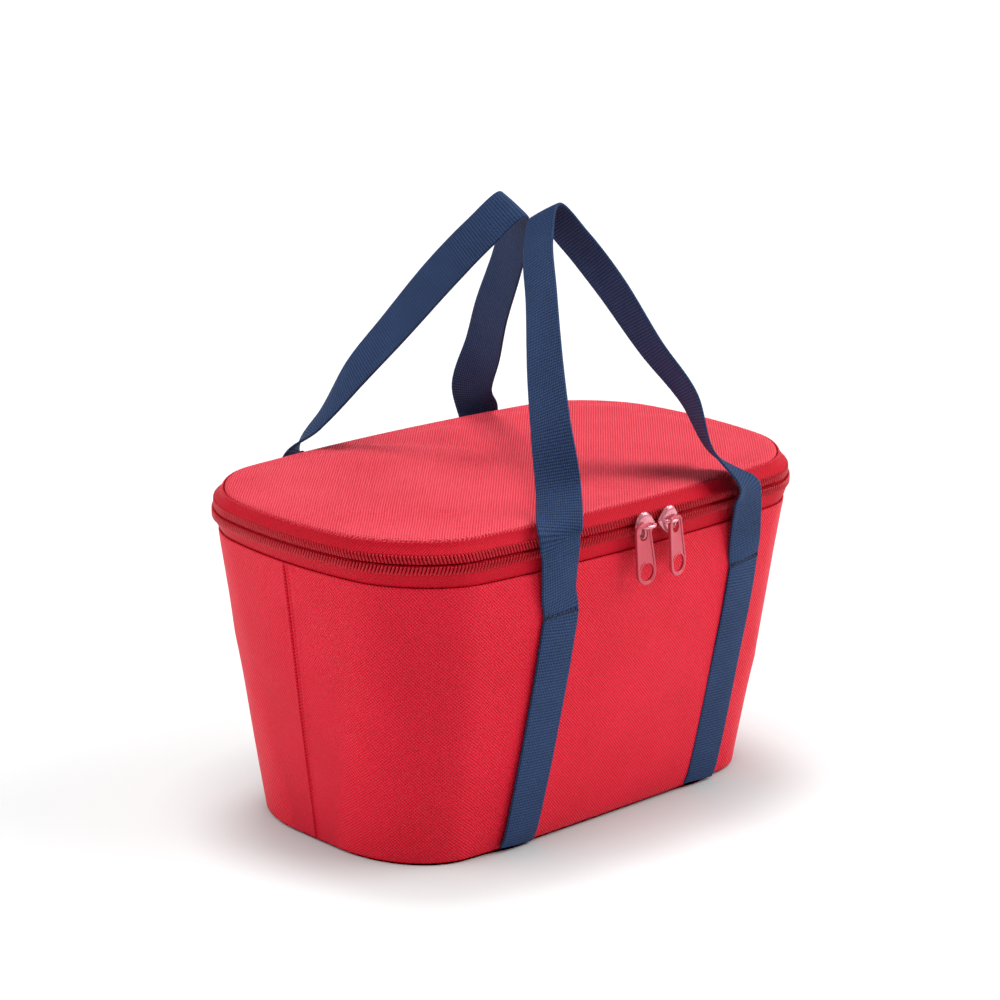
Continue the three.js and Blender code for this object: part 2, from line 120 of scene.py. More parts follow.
def shell(station, inset, z, z_plan=None):
    """Points a distance inset inside the outline of height z_plan, placed at height z."""
    z_plan = z if z_plan is None else z_plan
    x, y = plan(station, z_plan)
    (x1, y1), (x0, y0) = plan(station + 0.02, z_plan), plan(station - 0.02, z_plan)
    length = np.hypot(x1 - x0, y1 - y0)
    tx, ty = (x1 - x0) / length, (y1 - y0) / length
    return np.stack(np.broadcast_arrays(x - ty * inset, y + tx * inset, z), -1).astype(float)


def distances(points):
    """Distance along a line of points, from the first."""
    return np.concatenate([[0], np.cumsum(np.linalg.norm(np.diff(points, axis=0), axis=1))])


FINE = np.linspace(0, AROUND, 9601)
ARC = distances(shell(FINE, 0.0, BODY_TOP))
GIRTH = ARC[-1]         # length round the top of the wall


def station_at(s):
    """Station at arc length s round the bag, counted from the middle of the right end."""
    turns = np.floor(s / GIRTH)
    return turns * AROUND + np.interp(s - turns * GIRTH, ARC, FINE)


def arc_at(station):
    turns = np.floor(station / AROUND)
    return turns * GIRTH + np.interp(station - turns * AROUND, FINE, ARC)


ZIP_START, ZIP_END = arc_at(QUARTER + HINGE_STEPS), arc_at(AROUND + QUARTER - HINGE_STEPS)
HINGE_START, HINGE_END = arc_at(QUARTER - HINGE_STEPS), arc_at(QUARTER + HINGE_STEPS)
END_SEAMS = [0.0, GIRTH / 2, GIRTH]
HALVES = {"front": (GIRTH / 2, GIRTH), "back": (0.0, GIRTH / 2)}     # arc lengths of the wall's halves


# -------- mesh building
def add_object(name, data):
    obj = bpy.data.objects.new(name, data)
    bpy.context.scene.collection.objects.link(obj)
    return obj


def mend(mesh, merge=None):
    """Turns all faces outward, after joining points closer than merge."""
    work = bmesh.new()
    work.from_mesh(mesh)
    if merge:
        bmesh.ops.remove_doubles(work, verts=work.verts, dist=merge)
    bmesh.ops.recalc_face_normals(work, faces=work.faces)
    work.to_mesh(mesh)
    work.free()


def shade_smooth(mesh):
    mesh.polygons.foreach_set("use_smooth", [True] * len(mesh.polygons))


def plain_mesh(name, points, faces):
    mesh = bpy.data.meshes.new(name)
    mesh.from_pydata(points, [], faces)
    return mesh


def make_mesh(name, points, faces, cloth=None):
    """A mesh object from points in mm. cloth = one (u, v) in mm for each face corner."""
    mesh = plain_mesh(name, (np.asarray(points, float) * MM).tolist(), faces)
    if cloth is not None:
        layer = mesh.uv_layers.new(name="weave")
        layer.data.foreach_set("uv", np.asarray(cloth, np.float32).ravel())
    mend(mesh)
    shade_smooth(mesh)
    return add_object(name, mesh)


def skin(name, rows, cloth=None):
    """Closed skin over equal closed loops of points, rows[r, c], with both ends capped.
    cloth[r, c] has one more column."""
    count, around, _ = rows.shape
    r, c = [g.ravel() for g in np.meshgrid(np.arange(count - 1), np.arange(around), indexing="ij")]
    corners = [(r, c), (r, c + 1), (r + 1, c + 1), (r + 1, c)]
    faces = np.stack([i * around + (j % around) for i, j in corners], -1).tolist()
    uv = None if cloth is None else np.stack([cloth[i, j] for i, j in corners], 1).reshape(-1, 2)
    for end in (0, count - 1):
        faces.append((end * around + np.arange(around)).tolist())
        if uv is not None:
            uv = np.concatenate([uv, cloth[end, :around]])
    return make_mesh(name, rows.reshape(-1, 3), faces, uv)


def full_turn(count):
    return np.linspace(0, 2 * math.pi, count, endpoint=False)


def graded(start, end, fine, coarse, reach):
    """Places from start to end: fine apart at both ends, coarse apart from reach inward."""
    half, places = (end - start) / 2, [0.0]
    while places[-1] < half:
        places.append(places[-1] + fine + (coarse - fine) * min(1.0, places[-1] / reach))
    near = np.array(places) * half / places[-1]
    return np.concatenate([start + near, (end - near[:-1])[::-1]])


def run_length(loop):
    """Distance along each closed loop of points, with the closing stretch as a last column."""
    closed = np.concatenate([loop, loop[:, :1]], axis=1)
    steps = np.linalg.norm(np.diff(closed, axis=1), axis=2)
    return np.concatenate([np.zeros((len(loop), 1)), np.cumsum(steps, axis=1)], axis=1)


def sweep(name, profile, s):
    """Sweeps a closed profile along the arc lengths s. profile(s) gives inset and z, both [row, point]."""
    inset, z = profile(s[:, None])
    rows = shell(station_at(s)[:, None], inset, z)
    v = run_length(rows)
    u = np.repeat(s[:, None], v.shape[1], axis=1)
    return skin(name, rows, np.stack([u, v], -1))


def profile_of(points):
    """A profile that is the same everywhere, from (inset, z) corners."""
    inset, z = np.array(points, float).T
    return lambda s: (inset + 0 * s, z + 0 * s)


def catmull(points, t, per_span=30):
    """Dense points on the centripetal curve through points, whose knots are the square roots of
    the spacings of t."""
    p = np.asarray(points, float)
    p = np.concatenate([[2 * p[0] - p[1]], p, [2 * p[-1] - p[-2]]])
    q = np.asarray(t, float)
    q = np.concatenate([[2 * q[0] - q[1]], q, [2 * q[-1] - q[-2]]])
    knots = np.sqrt(np.linalg.norm(np.diff(q, axis=0), axis=1))
    out = []
    for i in range(len(p) - 3):
        d0, d1, d2 = knots[i:i + 3]
        p0, p1, p2, p3 = p[i:i + 4]
        m1 = ((p1 - p0) / d0 - (p2 - p0) / (d0 + d1) + (p2 - p1) / d1) * d1
        m2 = ((p2 - p1) / d1 - (p3 - p1) / (d1 + d2) + (p3 - p2) / d2) * d1
        x = np.linspace(0, 1, per_span, endpoint=False)[:, None]
        out.append((2 * x**3 - 3 * x**2 + 1) * p1 + (x**3 - 2 * x**2 + x) * m1
                   + (3 * x**2 - 2 * x**3) * p2 + (x**3 - x**2) * m2)
    return np.concatenate([*out, p[-2:-1]])


def smooth_waves(a, b, seed, lengths, sizes):
    """Gentle uneven waves over two coordinates in mm, the same on each run."""
    random = np.random.default_rng(seed)
    total = 0
    for length, size in zip(lengths, sizes):
        for _ in range(3):
            angle, phase = random.uniform(0, 2 * math.pi, 2)
            along = a * math.cos(angle) + b * math.sin(angle)
            total = total + size / 3 * np.sin(2 * math.pi * along / length + phase)
    return total


# -------- cloth simulation
def set_values(target, **values):
    for name, value in values.items():
        setattr(target, name, value)


def blow_up(points, pinned, pressure, slack, frames=20):
    """How far cloth moves along its normals, in mm, when it is pinned at some points of a grid
    [row, column], cut slack larger than it lies, and pushed outward by the foam behind it. The
    rows go once round the bag."""
    rows, columns, _ = points.shape
    faces = [(r * columns + c, r * columns + c + 1, (r + 1) % rows * columns + c + 1,
              (r + 1) % rows * columns + c) for r in range(rows) for c in range(columns - 1)]
    mesh = plain_mesh("trial", (points.reshape(-1, 3) * MM).tolist(), faces)
    trial = add_object("trial", mesh)
    group = trial.vertex_groups.new(name="pinned")
    group.add(np.flatnonzero(pinned.ravel()).tolist(), 1.0, "REPLACE")
    cloth = trial.modifiers.new("cloth", "CLOTH")
    set_values(cloth.settings, quality=5, mass=0.3, air_damping=4, vertex_group_mass="pinned",
               tension_stiffness=25, compression_stiffness=25, shear_stiffness=10, bending_stiffness=6,
               use_pressure=True, uniform_pressure_force=pressure, shrink_min=-slack)
    cloth.settings.effector_weights.gravity = 0
    cloth.point_cache.frame_start, cloth.point_cache.frame_end = 1, frames
    normals = np.array([v.normal for v in mesh.vertices])
    for number in range(1, frames + 1):
        bpy.context.scene.frame_set(number)
    settled = trial.evaluated_get(bpy.context.evaluated_depsgraph_get()).data
    moved = np.empty(rows * columns * 3, np.float32)
    settled.vertices.foreach_get("co", moved)
    moved = moved.reshape(-1, 3) / MM - points.reshape(-1, 3)
    bpy.data.objects.remove(trial)
    bpy.context.scene.frame_set(1)
    return (moved * normals).sum(1).reshape(rows, columns)


def lookup(table, s, share):
    """Smooth value of a table whose rows go once round the bag, at arc length s and at a share of
    the way along its columns."""
    def weights(t):
        return [((2 - t) * t - 1) * t / 2, ((3 * t - 5) * t * t + 2) / 2,
                ((4 - 3 * t) * t + 1) * t / 2, (t - 1) * t * t / 2]
    rows, columns = table.shape
    i, j = np.mod(s, GIRTH) / GIRTH * rows, share * (columns - 1)
    i0, j0 = np.floor(i).astype(int), np.floor(j).astype(int)
    total = 0
    for k, wi in enumerate(weights(i - i0)):
        row = (i0 + k - 1) % rows
        for m, wj in enumerate(weights(j - j0)):
            total = total + wi * wj * table[row, np.clip(j0 + m - 1, 0, columns - 1)]
    return total


WALL_COLUMNS, WALL_ROWS = 150, 24       # simulation grid round and up the wall
WALL_LOW = 4.0                          # the wall cloth is free between here and its top seam
LID_COLUMNS, LID_RINGS = 100, 14        # simulation grid round the lid and from its middle out
LID_CORE = 0.04                         # size of the innermost ring, as a share of the outline


def belly(s, z):
    """How far the padded long sides stand out past the straight line from base to top seam."""
    z = np.clip(z, 0, BODY_TOP)
    from_middle = np.abs(np.mod(s, GIRTH / 2) - GIRTH / 4)
    share = np.clip((118 - from_middle) / 70, 0, 1)
    swell = 2.2 * (1 - np.exp(-z / 0.7)) + 3.2 * (1 - np.exp(-z / 5))
    return share**2 * (3 - 2 * share) * swell * (1 - (z / BODY_TOP) ** 4)


def simulate_wall():
    s = np.arange(WALL_COLUMNS) * GIRTH / WALL_COLUMNS
    z = np.linspace(WALL_LOW, BODY_TOP, WALL_ROWS)
    start = smooth_waves(s[:, None], z[None], 3, [90, 50], [0.4, 0.15])
    points = shell(station_at(s)[:, None], -belly(s[:, None], z[None]) - start, z[None] + 0 * s[:, None])
    pinned = np.zeros(points.shape[:2], bool)
    pinned[:, [0, -1]] = True
    pinned[[0, WALL_COLUMNS // 2]] = True
    moved = blow_up(points, pinned, pressure=0.5, slack=0.001) + start
    return np.clip(moved * 0.5, -0.6, 0.8)


def simulate_lid():
    s = np.arange(LID_COLUMNS) * GIRTH / LID_COLUMNS
    share = np.linspace(LID_CORE, 1, LID_RINGS)
    edge = shell(station_at(s)[:, None], 2.0, LID_SEAM + 0 * s[:, None])
    points = edge * np.array([1, 1, 0]) * share[None, :, None]
    points[..., 2] = LID_SEAM + smooth_waves(points[..., 0], points[..., 1], 5, [90, 45], [0.3, 0.15])
    pinned = np.zeros(points.shape[:2], bool)
    pinned[:, -1] = True
    moved = blow_up(points, pinned, pressure=-0.8, slack=0.004)
    return np.clip(-moved, -0.8, 1.6)


WALL_PUFF = simulate_wall()
LID_PUFF = simulate_lid()


def wall_out(s, z):
    """How far the wall cloth stands out from the outline at arc length s and height z."""
    share = np.clip((z - WALL_LOW) / (BODY_TOP - WALL_LOW), 0, 1)
    inside = np.clip((BODY_TOP - z) / 6, 0, 1) * np.clip(z / 8, 0, 1)
    return belly(s, z) + inside * lookup(WALL_PUFF, s, share)


def lid_rise(s, share):
    """Height of the simulated lid over its seam: share is 1 at the edge and 0 in the middle."""
    return lookup(LID_PUFF, s, (np.clip(share, LID_CORE, 1) - LID_CORE) / (1 - LID_CORE))


# -------- materials
class Graph:
    """Short forms for building a material's nodes."""

    def __init__(self, name):
        self.material = bpy.data.materials.new(name)
        self.material.use_nodes = True
        self.nodes, self.links = self.material.node_tree.nodes, self.material.node_tree.links
        self.shader = self.nodes["Principled BSDF"]

    def feed(self, socket, value):
        if isinstance(value, bpy.types.NodeSocket):
            self.links.new(value, socket)
        else:
            socket.default_value = value

    def math(self, operation, *values, clamp=False):
        node = self.nodes.new("ShaderNodeMath")
        node.operation, node.use_clamp = operation, clamp
        for socket, value in zip(node.inputs, values):
            self.feed(socket, value)
        return node.outputs[0]

    def add(self, a, b, clamp=False):
        return self.math("ADD", a, b, clamp=clamp)

    def times(self, a, b):
        return self.math("MULTIPLY", a, b)

    def colour(self, tone, dark, light):
        """Base colour, from dark where the tone is 0 to light where it is 1."""
        node = self.nodes.new("ShaderNodeMix")
        node.data_type = "RGBA"
        self.feed(node.inputs["Factor"], tone)
        self.feed(node.inputs["A"], (*dark, 1))
        self.feed(node.inputs["B"], (*light, 1))
        self.set(Base_Color=node.outputs["Result"])

    def weave(self):
        """The cloth coordinates in mm: across and along."""
        uv = self.nodes.new("ShaderNodeUVMap")
        uv.uv_map = "weave"
        split = self.nodes.new("ShaderNodeSeparateXYZ")
        self.links.new(uv.outputs[0], split.inputs[0])
        return split.outputs[0], split.outputs[1]

    def wave(self, value, length, phase=0.0):
        """-1 to 1, with the given wave length."""
        return self.math("SINE", self.math("MULTIPLY_ADD", value, 2 * math.pi / length, phase))

    def noise(self, size, detail=2.0):
        """0 to 1, blotches of the given size in mm, from the place in the row frame."""
        place = self.nodes.new("ShaderNodeTexCoord")
        node = self.nodes.new("ShaderNodeTexNoise")
        node.inputs["Scale"].default_value = 1 / (size * MM)
        node.inputs["Detail"].default_value = detail
        self.links.new(place.outputs["Object"], node.inputs["Vector"])
        return node.outputs["Fac"]

    def uneven(self, size, amount, detail=2.0):
        """Blotches as in noise, around 0 and scaled by amount."""
        return self.times(self.math("SUBTRACT", self.noise(size, detail), 0.5), amount)

    def bump(self, height, depth):
        node = self.nodes.new("ShaderNodeBump")
        node.inputs["Distance"].default_value = depth * MM
        self.links.new(height, node.inputs["Height"])
        self.links.new(node.outputs[0], self.shader.inputs["Normal"])

    def set(self, **values):
        for name, value in values.items():
            self.feed(self.shader.inputs[name.replace("_", " ")], value)


def plain_weave(name, light, dark, yarn, depth, gloss):
    """Plain woven polyester: a chequer of small floats, standing out a little more along one
    diagonal. light and dark are the tops of the yarns and the gaps between them. For the lid cloth
    both are painted lighter and whiter than the body canvas: painted sheen and painted top light."""
    g = Graph(name)
    u, v = g.weave()
    drift = g.times(g.noise(9), yarn * 0.5)
    falling = g.wave(g.add(g.math("SUBTRACT", u, v), drift), 2 * yarn)
    rising = g.wave(g.add(g.add(u, v), drift), 2 * yarn)
    height = g.add(g.times(falling, 0.26), g.times(rising, 0.20))
    height = g.add(height, 0.5)
    patch = g.uneven(38, 0.35)
    speck = g.uneven(1.3, 0.5)
    tone = g.add(g.add(height, patch), speck, clamp=True)
    g.colour(tone, dark, light)
    g.set(Specular_IOR_Level=gloss, Roughness=g.math("SUBTRACT", 0.60, g.times(height, 0.16)))
    g.bump(g.add(height, g.times(speck, 0.5)), depth)
    return g.material


def webbing_cloth():
    g = Graph("webbing")
    u, v = g.weave()
    rib = g.wave(v, RIB, math.pi / 2)
    warp = g.wave(u, 0.95)
    fibre = g.math("SUBTRACT", g.noise(0.5, 1.0), 0.5)
    float_tops = g.times(g.math("MULTIPLY_ADD", rib, 0.5, 0.5), warp)
    height = g.add(g.times(rib, 0.18), g.times(float_tops, 0.34))
    tone = g.add(height, g.times(fibre, 0.8))
    tone = g.add(tone, g.uneven(24, 0.3))
    tone = g.add(tone, 0.36, clamp=True)
    g.colour(tone, (0.004, 0.012, 0.035), (0.045, 0.096, 0.250))
    g.set(Specular_IOR_Level=0.15, Roughness=g.math("SUBTRACT", 0.62, g.times(height, 0.15)))
    g.bump(g.add(g.times(warp, 0.5), fibre), 0.10)
    return g.material


def moulded(name, light, dark, roughness, grain_and_highlight_size=0.8, depth=0.03, **more):
    """Plastic, thread or coating, with faint texture and uneven tone; on the slider enamel the pale
    blotches are painted highlights.
    """
    g = Graph(name)
    # On the slider enamel this tone lays painted highlights into the base colour.
    tone = g.add(g.times(g.noise(grain_and_highlight_size), 0.6), g.times(g.noise(20), 0.4))
    g.colour(tone, dark, light)
    g.set(Roughness=g.math("MULTIPLY_ADD", g.noise(grain_and_highlight_size * 2), 0.2, roughness - 0.1), **more)
    g.bump(g.noise(grain_and_highlight_size), depth)
    return g.material


def lining_foil():
    """Silvery coated lining with a faint pressed grid."""
    g = Graph("lining")
    u, v = g.weave()
    grid = g.math("MAXIMUM", g.wave(u, 3.2), g.wave(v, 3.2))
    tone = g.add(g.noise(14), g.times(grid, 0.08), clamp=True)
    g.colour(tone, (0.38, 0.39, 0.41), (0.62, 0.63, 0.65))
    g.set(Metallic=0.55, Roughness=g.math("MULTIPLY_ADD", g.noise(6), 0.2, 0.28))
    g.bump(g.add(grid, g.times(g.noise(5), 4.0)), 0.12)
    return g.material


TAPE_YARN = 0.65        # the tape is woven finer than the outer cloth
LOOKS = {
    "body_canvas": plain_weave("body_canvas", (0.970, 0.012, 0.056), (0.485, 0.000, 0.002),
                               YARN, 0.32, 0.20),
    # Lid cloth: the same cloth as the body canvas, painted lighter and whiter, with painted sheen and
    # painted light on the lid's top.
    "lid_cloth": plain_weave("lid_cloth", (1.000, 0.120, 0.165), (0.560, 0.002, 0.016),
                             YARN, 0.34, 0.16),
    "zip_tape": plain_weave("zip_tape", (0.690, 0.007, 0.028), (0.390, 0.000, 0.006),
                            TAPE_YARN, 0.2, 0.10),
    "zip_coil": moulded("zip_coil", (0.600, 0.006, 0.022), (0.400, 0.001, 0.009), 0.34, depth=0.01,
                        Specular_IOR_Level=0.3),
    # Slider enamel: the pale pinkish-white blotches of its light colour are painted highlights.
    "slider_enamel_painted_highlights": moulded("slider_enamel_painted_highlights", (1.0, 0.50, 0.55), (0.62, 0.06, 0.12), 0.22, 1.5, 0.02,
                             Metallic=0.45, Coat_Weight=1.0, Coat_Roughness=0.06),
    # Lid seam thread: real stitches, with a pale colour that paints the highlight along the band's rolled
    # edge.
    "thread_with_painted_highlight": moulded("thread_with_painted_highlight", (1.0, 0.11, 0.17), (0.80, 0.03, 0.06), 0.6, 0.4),
    "thread": moulded("thread", (0.330, 0.004, 0.014), (0.240, 0.002, 0.008), 0.6, 0.4),
    "navy_thread": moulded("navy_thread", (0.014, 0.022, 0.055), (0.006, 0.010, 0.028), 0.6, 0.4),
    "webbing": webbing_cloth(),
    "enamel": moulded("enamel", (0.66, 0.045, 0.085), (0.46, 0.020, 0.045), 0.38, 1.5, 0.02,
                      Metallic=0.15, Coat_Weight=0.6, Coat_Roughness=0.12),
    "foam": moulded("foam", (0.86, 0.85, 0.80), (0.70, 0.69, 0.64), 0.9, 1.2, 0.3),
    "lining": lining_foil(),
}


def finish_piece(obj, look, body, *replaced):
    """Gives a piece its material and slot, and the body it rides on."""
    obj.data.materials.clear()
    obj.data.materials.append(LOOKS[look])
    if replaced:
        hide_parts(*replaced)
    if body:
        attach(obj, body)
    return obj


# -------- wall, base, foam and lining
def seam_relief(s, front):
    """Ridge, crease and stitched groove beside the seams up the two ends."""
    nearest = np.min([np.abs(s - seam) for seam in END_SEAMS], axis=0)

    def hump(centre, width):
        return np.exp(-((nearest - centre) / width) ** 2)
    if front:
        return -1.0 * hump(0, 0.5) + 0.25 * hump(1.1, 0.6) - 0.55 * hump(2.6, 0.55) + 0.2 * hump(4.2, 1.2)
    return -1.0 * hump(0, 0.4) + 0.6 * hump(0.9, 0.7)


def wall_panel(side):
    front = side == "front"
    start, end = HALVES[side]
    s = graded(start + 0.15, end - 0.15, 0.4, 3.4, 12)
    roll = np.array([(1.0, BODY_TOP - 0.5), (0.8, BODY_TOP + 0.05), (0.35, BODY_TOP + 0.1),
                     (0.05, BODY_TOP - 0.35)])
    outer = np.concatenate([[131.4, 129.5, 127], np.linspace(123.5, 14, 34),
                            [11, 8.6, 6.6, 4.9, 3.4, 2.2, 1.2]])
    under = np.array([(1.0, 0.45), (2.2, 0.12), (3.4, 0.25)])
    inner = np.linspace(4, 128, 16)
    z = np.concatenate([roll[:, 1], outer, under[:, 1], inner, [BODY_TOP - CLOTH]])

    def profile(s):
        below_top = BODY_TOP - outer[None]
        out = wall_out(s, outer[None]) + seam_relief(s, front) * np.clip(below_top / 2, 0, 1)
        out += smooth_waves(s, outer[None] * 0.4, 11, [9.5], [0.12]) * np.exp(-below_top / 3)
        inset = [roll[:, 0][None] + 0 * s, -out, under[:, 0][None] + 0 * s,
                 CLOTH - wall_out(s, inner[None]), CLOTH + 0.3 + 0 * s]
        return np.concatenate(inset, axis=1), z[None] + 0 * s
    obj = sweep("wall_cloth_" + side, profile, s)
    finish_piece(obj, "body_canvas", "bag", "body_panel_" + side)
    return obj


MIDDLE = 0.02           # share of the outline where a disc closes over


def disc(name, rings, s):
    """Closed plate over rings [(inset, z, share, z_plan)], first ring to last, each a whole outline
    as the bag has it at height z_plan. A share of 1 is that outline itself, and smaller ones draw it
    in to the middle. z may be a function of the arc length, the share and the ring's points."""
    station = station_at(s)
    rows = []
    for inset, z, share, z_plan in rings:
        ring = shell(station, inset, 0 * s + z_plan) * np.array([share, share, 1])
        ring[:, 2] = z(s, share, ring) if callable(z) else z
        rows.append(ring)
    rows = np.array(rows)
    cloth = np.stack([rows[..., 0], rows[..., 1]], -1)
    return skin(name, rows, np.concatenate([cloth, cloth[:, :1]], axis=1))


def base_cloth():
    s = np.arange(0, GIRTH, 3.0)

    def dished(lift):
        return lambda s, share, ring: lift + 0.9 * (1 - share**2) + \
            0.15 * np.sin(ring[:, 0] / 17) * np.cos(ring[:, 1] / 13) * (1 - share)
    shares = (MIDDLE, 0.15, 0.35, 0.55, 0.75, 0.9, 1)
    rings = [(5, dished(1.2), share, 0) for share in shares]
    rings += [(3.5, 1.3, 1, 0), (2.9, 0.9, 1, 0), (2.8, 0.4, 1, 0), (3.6, 0.05, 1, 0), (4.6, 0.0, 1, 0)]
    rings += [(5.4, dished(0.1), share, 0) for share in shares[::-1]]
    return finish_piece(disc("base_cloth", rings, s), "body_canvas", "bag", "base_panel")


def plate(edge, crown, z_plan):
    """Rings of a plate from its edge profile [(inset, z)], crowned in the middle of its top."""
    inset, z = edge[-1]
    rings = [(*edge[0], MIDDLE, z_plan)]
    rings += [(*corner, 1, z_plan) for corner in edge]
    return [*rings, (inset, z + crown, MIDDLE, z_plan)]


def foam_layers():
    """Foam sheets between cloth and lining: base, two half walls, lid."""
    heights = np.linspace(6.9, 129.5, 22)
    for side, (start, end) in HALVES.items():
        def profile(s):
            out = wall_out(s, heights[None]) * 0.9 - 1.6
            inner = wall_out(s, heights[None]) * 0.55 - 1.6 - FOAM
            return -np.concatenate([out, inner[:, ::-1]], axis=1), \
                np.concatenate([heights, heights[::-1]])[None] + 0 * s
        foam = sweep("foam_sheet_" + side, profile, np.linspace(start + 0.3, end - 0.3, 120))
        finish_piece(foam, "foam", "bag", "wall_foam_" + side)
    s = np.arange(0, GIRTH, 4.0)
    edge = [(9, 2.4), (5, 2.4), (3.4, 3), (2.6, 4.4), (2.8, 5.6), (4.0, 6.3), (9, 6.5)]
    base = disc("foam_sheet_base", plate(edge, 0, 0), s)
    finish_piece(base, "foam", "bag", "base_foam")
    top = LID_SEAM - CLOTH - 0.3
    edge = [(12, top - FOAM), (5, top - FOAM), (4, top - 4), (4, top - 1.2), (6, top), (12, top + 1)]
    lid = disc("foam_sheet_lid", plate(edge, 0.4, LID_SEAM), s)
    finish_piece(lid, "foam", "lid", "lid_foam")


def lining():
    """Silvery tub inside the foam, its floor and its turned-out rim, slightly creased."""
    s = np.arange(0, GIRTH, 2.6)
    station = station_at(s)
    rim = BODY_TOP - 1.3
    outer_z = np.concatenate([np.linspace(10, 124, 36), [127, 129, rim - LINER]])

    def creases(z):
        fade = np.clip((rim - z) / 15, 0, 1) * np.clip((z - 8) / 10, 0, 1)
        return fade * smooth_waves(s[:, None], z * 1.4, 21, [46, 21, 11], [0.9, 0.5, 0.25])
    wall_in = 7.4
    across = 0 * s[:, None]
    outer = shell(station[:, None], wall_in + creases(outer_z[None]) * 0.5, outer_z[None] + across)
    inner_z = outer_z[::-1]
    inner = shell(station[:, None], wall_in + LINER + creases(inner_z[None]), inner_z[None] + across)
    lip = shell(station[:, None], np.array([[1.7, 1.5, 1.9, wall_in - 0.5, wall_in + 0.8]]),
                np.array([[rim - 1.0, rim - 0.3, rim, rim + 0.1, rim - 0.4]]) + across)
    floor = []
    for share in (1, 0.99, 0.96, 0.88, 0.7, 0.5, 0.3, 0.12, MIDDLE):
        ring = shell(station, wall_in + LINER, 7.0 + 0 * s) * np.array([share, share, 1])
        ring[:, 2] = 7.9 + 2.2 * max(0, (share - 0.96) / 0.04) ** 2 \
            + 0.25 * (1 - share) * smooth_waves(ring[:, 0], ring[:, 1], 8, [40, 18], [1, 0.6])
        floor.append(ring)
    below = [ring - np.array([0, 0, LINER]) for ring in floor[::-1]]
    # from the middle of the underside out, up, over the lip and down to the middle of the floor
    rows = np.concatenate([below, *(part.transpose(1, 0, 2) for part in (outer, lip, inner)), floor])
    v = distances(rows[:, 0])
    u = np.concatenate([s, [GIRTH]])
    cloth = np.stack(np.meshgrid(u, v), -1)
    obj = finish_piece(skin("lining_tub", rows, cloth), "lining", "bag", "liner_tub")
    return obj


# -------- zip, band and hinge
def rippled(corners, seed, lengths, sizes):
    """A profile from corners (inset, z, share of the ripple, share of the pucker at each stitch)."""
    inset, z, wavy, pucker = np.array(corners, float).T[:, None]

    def profile(s):
        ripple = smooth_waves(s, 0 * s, seed, lengths, sizes) * wavy
        stitch = 0.06 * np.sin(2 * math.pi * s / 2.8) * pucker
        return inset - ripple - stitch, z + stitch
    return profile


def zip_tape_lower():
    corners = [(2.3, BODY_TOP - 0.9, 0, 0), (1.12, BODY_TOP + 0.2, 0, 0), (1.0, BODY_TOP + 0.8, 0.3, 0),
               (0.85, BODY_TOP + 2.2, 1, 0), (0.85, LOW_FOOT - 1.2, 1, 0), (0.95, LOW_FOOT - 0.2, 0.6, 0),
               (1.05, LOW_FOOT + 0.5, 0, 0), (1.15, ZIP_CENTRE - 0.3, 0, 0),
               (3.3, ZIP_CENTRE - 0.3, 0, 0), (3.3, LOW_FOOT, 0, 0), (2.4, BODY_TOP + 2, 0, 0),
               (2.5, BODY_TOP - 0.9, 0, 0)]
    profile = rippled(corners, 31, [60, 27], [0.18, 0.08])
    s = np.arange(ZIP_START, ZIP_END, 1.6)
    return finish_piece(sweep("zip_tape_low", profile, s), "zip_tape", "bag", "zip_tape_lower")


def zip_band_upper():
    """Band between coil and lid: it hangs over the coil, and its top edge is rolled at the lid seam."""
    low, high = UP_TOP + 0.1, LID_SEAM
    corners = [(1.15, ZIP_CENTRE + 0.3, 0, 0), (1.1, UP_TOP - 0.4, 0, 0), (1.0, low + 0.1, 0, 0),
               (0.6, low - 0.1, 0.6, 0), (0.1, low + 0.1, 1, 0), (-0.1, low + 0.6, 1, 0),
               (-0.2, low + 1.6, 1, 0), (-0.3, high - 1.6, 1, 0), (-0.7, high - 0.9, 0.8, 0.4),
               (-1.0, high - 0.2, 0.6, 1), (-0.9, high + 0.5, 0.5, 1), (-0.45, high + 0.85, 0.5, 1),
               (0.05, high + 0.6, 0.4, 0.6), (0.3, high - 0.3, 0.2, 0), (0.9, high - 1.5, 0, 0),
               (1.6, low + 1, 0, 0), (3.3, UP_TOP, 0, 0), (3.3, ZIP_CENTRE + 0.3, 0, 0)]
    profile = rippled(corners, 37, [75, 31], [0.25, 0.1])
    s = np.arange(ZIP_START, ZIP_END, 0.7)
    return finish_piece(sweep("zip_band_high", profile, s), "zip_tape", "lid", "zip_tape_upper")


def capsule(length, radius_across, radius_out, sides=8, rings=6):
    """Points and faces of a rounded rod along local z, thicker or thinner across (x) than out (y)."""
    points, faces = [(0, 0, -length / 2)], []
    for i in range(1, rings):
        angle = math.pi * i / rings
        z = -math.cos(angle) * radius_across
        z += math.copysign(length / 2 - radius_across, z) if abs(z) > 1e-9 else 0
        for j in range(sides):
            turn = 2 * math.pi * j / sides
            points.append((radius_across * math.sin(angle) * math.cos(turn),
                           radius_out * math.sin(angle) * math.sin(turn), z))
    points.append((0, 0, length / 2))
    top = len(points) - 1
    for j in range(sides):
        k = (j + 1) % sides
        faces.append((0, 1 + k, 1 + j))
        for i in range(rings - 2):
            a = 1 + i * sides
            faces.append((a + j, a + k, a + sides + k, a + sides + j))
        faces.append((top - sides + j, top - sides + k, top))
    return np.array(points), faces


def scatter(name, shape, places):
    """One mesh of a shape repeated at places = (origin, x, y, z axes)."""
    points, faces = shape
    all_points, all_faces = [], []
    for origin, x, y, z in places:
        start = len(all_points) * len(points)
        all_points.append(origin + points @ np.array([x, y, z]))
        all_faces += [tuple(start + i for i in face) for face in faces]
    return make_mesh(name, np.concatenate(all_points), all_faces)


